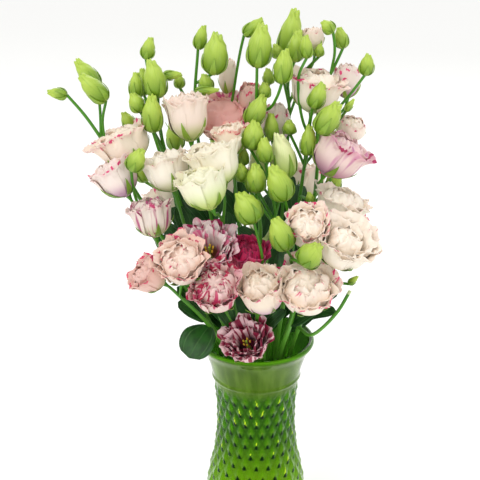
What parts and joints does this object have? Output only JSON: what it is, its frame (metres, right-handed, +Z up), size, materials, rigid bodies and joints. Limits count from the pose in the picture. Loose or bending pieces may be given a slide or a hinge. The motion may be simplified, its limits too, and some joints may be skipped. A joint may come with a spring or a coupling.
{
  "type": "lisianthus bouquet in a vase",
  "caption": "Lisianthus bouquet with ruffled blooms, buds and leafy stems standing in water in a flared pressed-glass vase.",
  "frame": {"origin": "centre of the vase's underside", "axes": "+Z up along the vase's axis; -Y towards the front of the bouquet, +X to its right"},
  "size_m": [0.3222, 0.2681, 0.5836],
  "materials": {
    "green_glass": "pressed, clear green",
    "water": "clear",
    "green_plant": "matt living stems, buds and leaves",
    "petals_cream": "matt, thin petals",
    "petals_blush": "matt, thin petals",
    "petals_rose": "matt, thin petals",
    "petals_flecked": "matt, thin petals with pink flecks",
    "petals_magenta": "matt, thin deep magenta petals",
    "petals_striped": "matt, thin petals with magenta stripes"
  },
  "bodies": {
    "root": {"vase": "green_glass", "water": "water", "leafy_stem_01": "green_plant", "leafy_stem_02": "green_plant", "leafy_stem_03": "green_plant", "leafy_stem_04": "green_plant", "leafy_stem_05": "green_plant", "leafy_stem_06": "green_plant", "leafy_stem_07": "green_plant", "leafy_stem_08": "green_plant", "leafy_stem_09": "green_plant", "leafy_stem_10": "green_plant", "leafy_stem_11": "green_plant", "leafy_stem_12": "green_plant", "leafy_stem_13": "green_plant", "leafy_stem_14": "green_plant", "leafy_stem_15": "green_plant", "leafy_stem_16": "green_plant", "leafy_stem_17": "green_plant", "leafy_stem_18": "green_plant", "leafy_stem_19": "green_plant", "leafy_stem_20": "green_plant", "bloom_01": "petals_blush", "bloom_02": "petals_blush", "bloom_03": "petals_cream", "bloom_04": "petals_cream", "bloom_05": "petals_rose", "bloom_06": "petals_flecked", "bloom_07": "petals_cream", "bloom_08": "petals_blush", "bloom_09": "petals_flecked", "bloom_10": "petals_flecked", "bloom_11": "petals_flecked", "bloom_12": "petals_striped", "bloom_13": "petals_flecked", "bloom_14": "petals_blush", "bloom_15": "petals_flecked", "bloom_16": "petals_cream", "bloom_17": "petals_flecked", "bloom_18": "petals_blush", "bloom_19": "petals_flecked", "bloom_20": "petals_striped", "bloom_21": "petals_flecked", "bloom_22": "petals_magenta", "bloom_23": "petals_cream", "bloom_24": "petals_flecked", "bloom_25": "petals_cream", "bloom_26": "petals_flecked", "bloom_27": "petals_magenta", "bloom_28": "petals_cream", "bloom_29": "petals_blush", "bloom_30": "petals_cream", "bloom_31": "petals_flecked", "bloom_32": "petals_cream", "bloom_33": "petals_blush", "bloom_34": "petals_flecked", "bloom_35": "petals_flecked"}
  },
  "joints": []
}
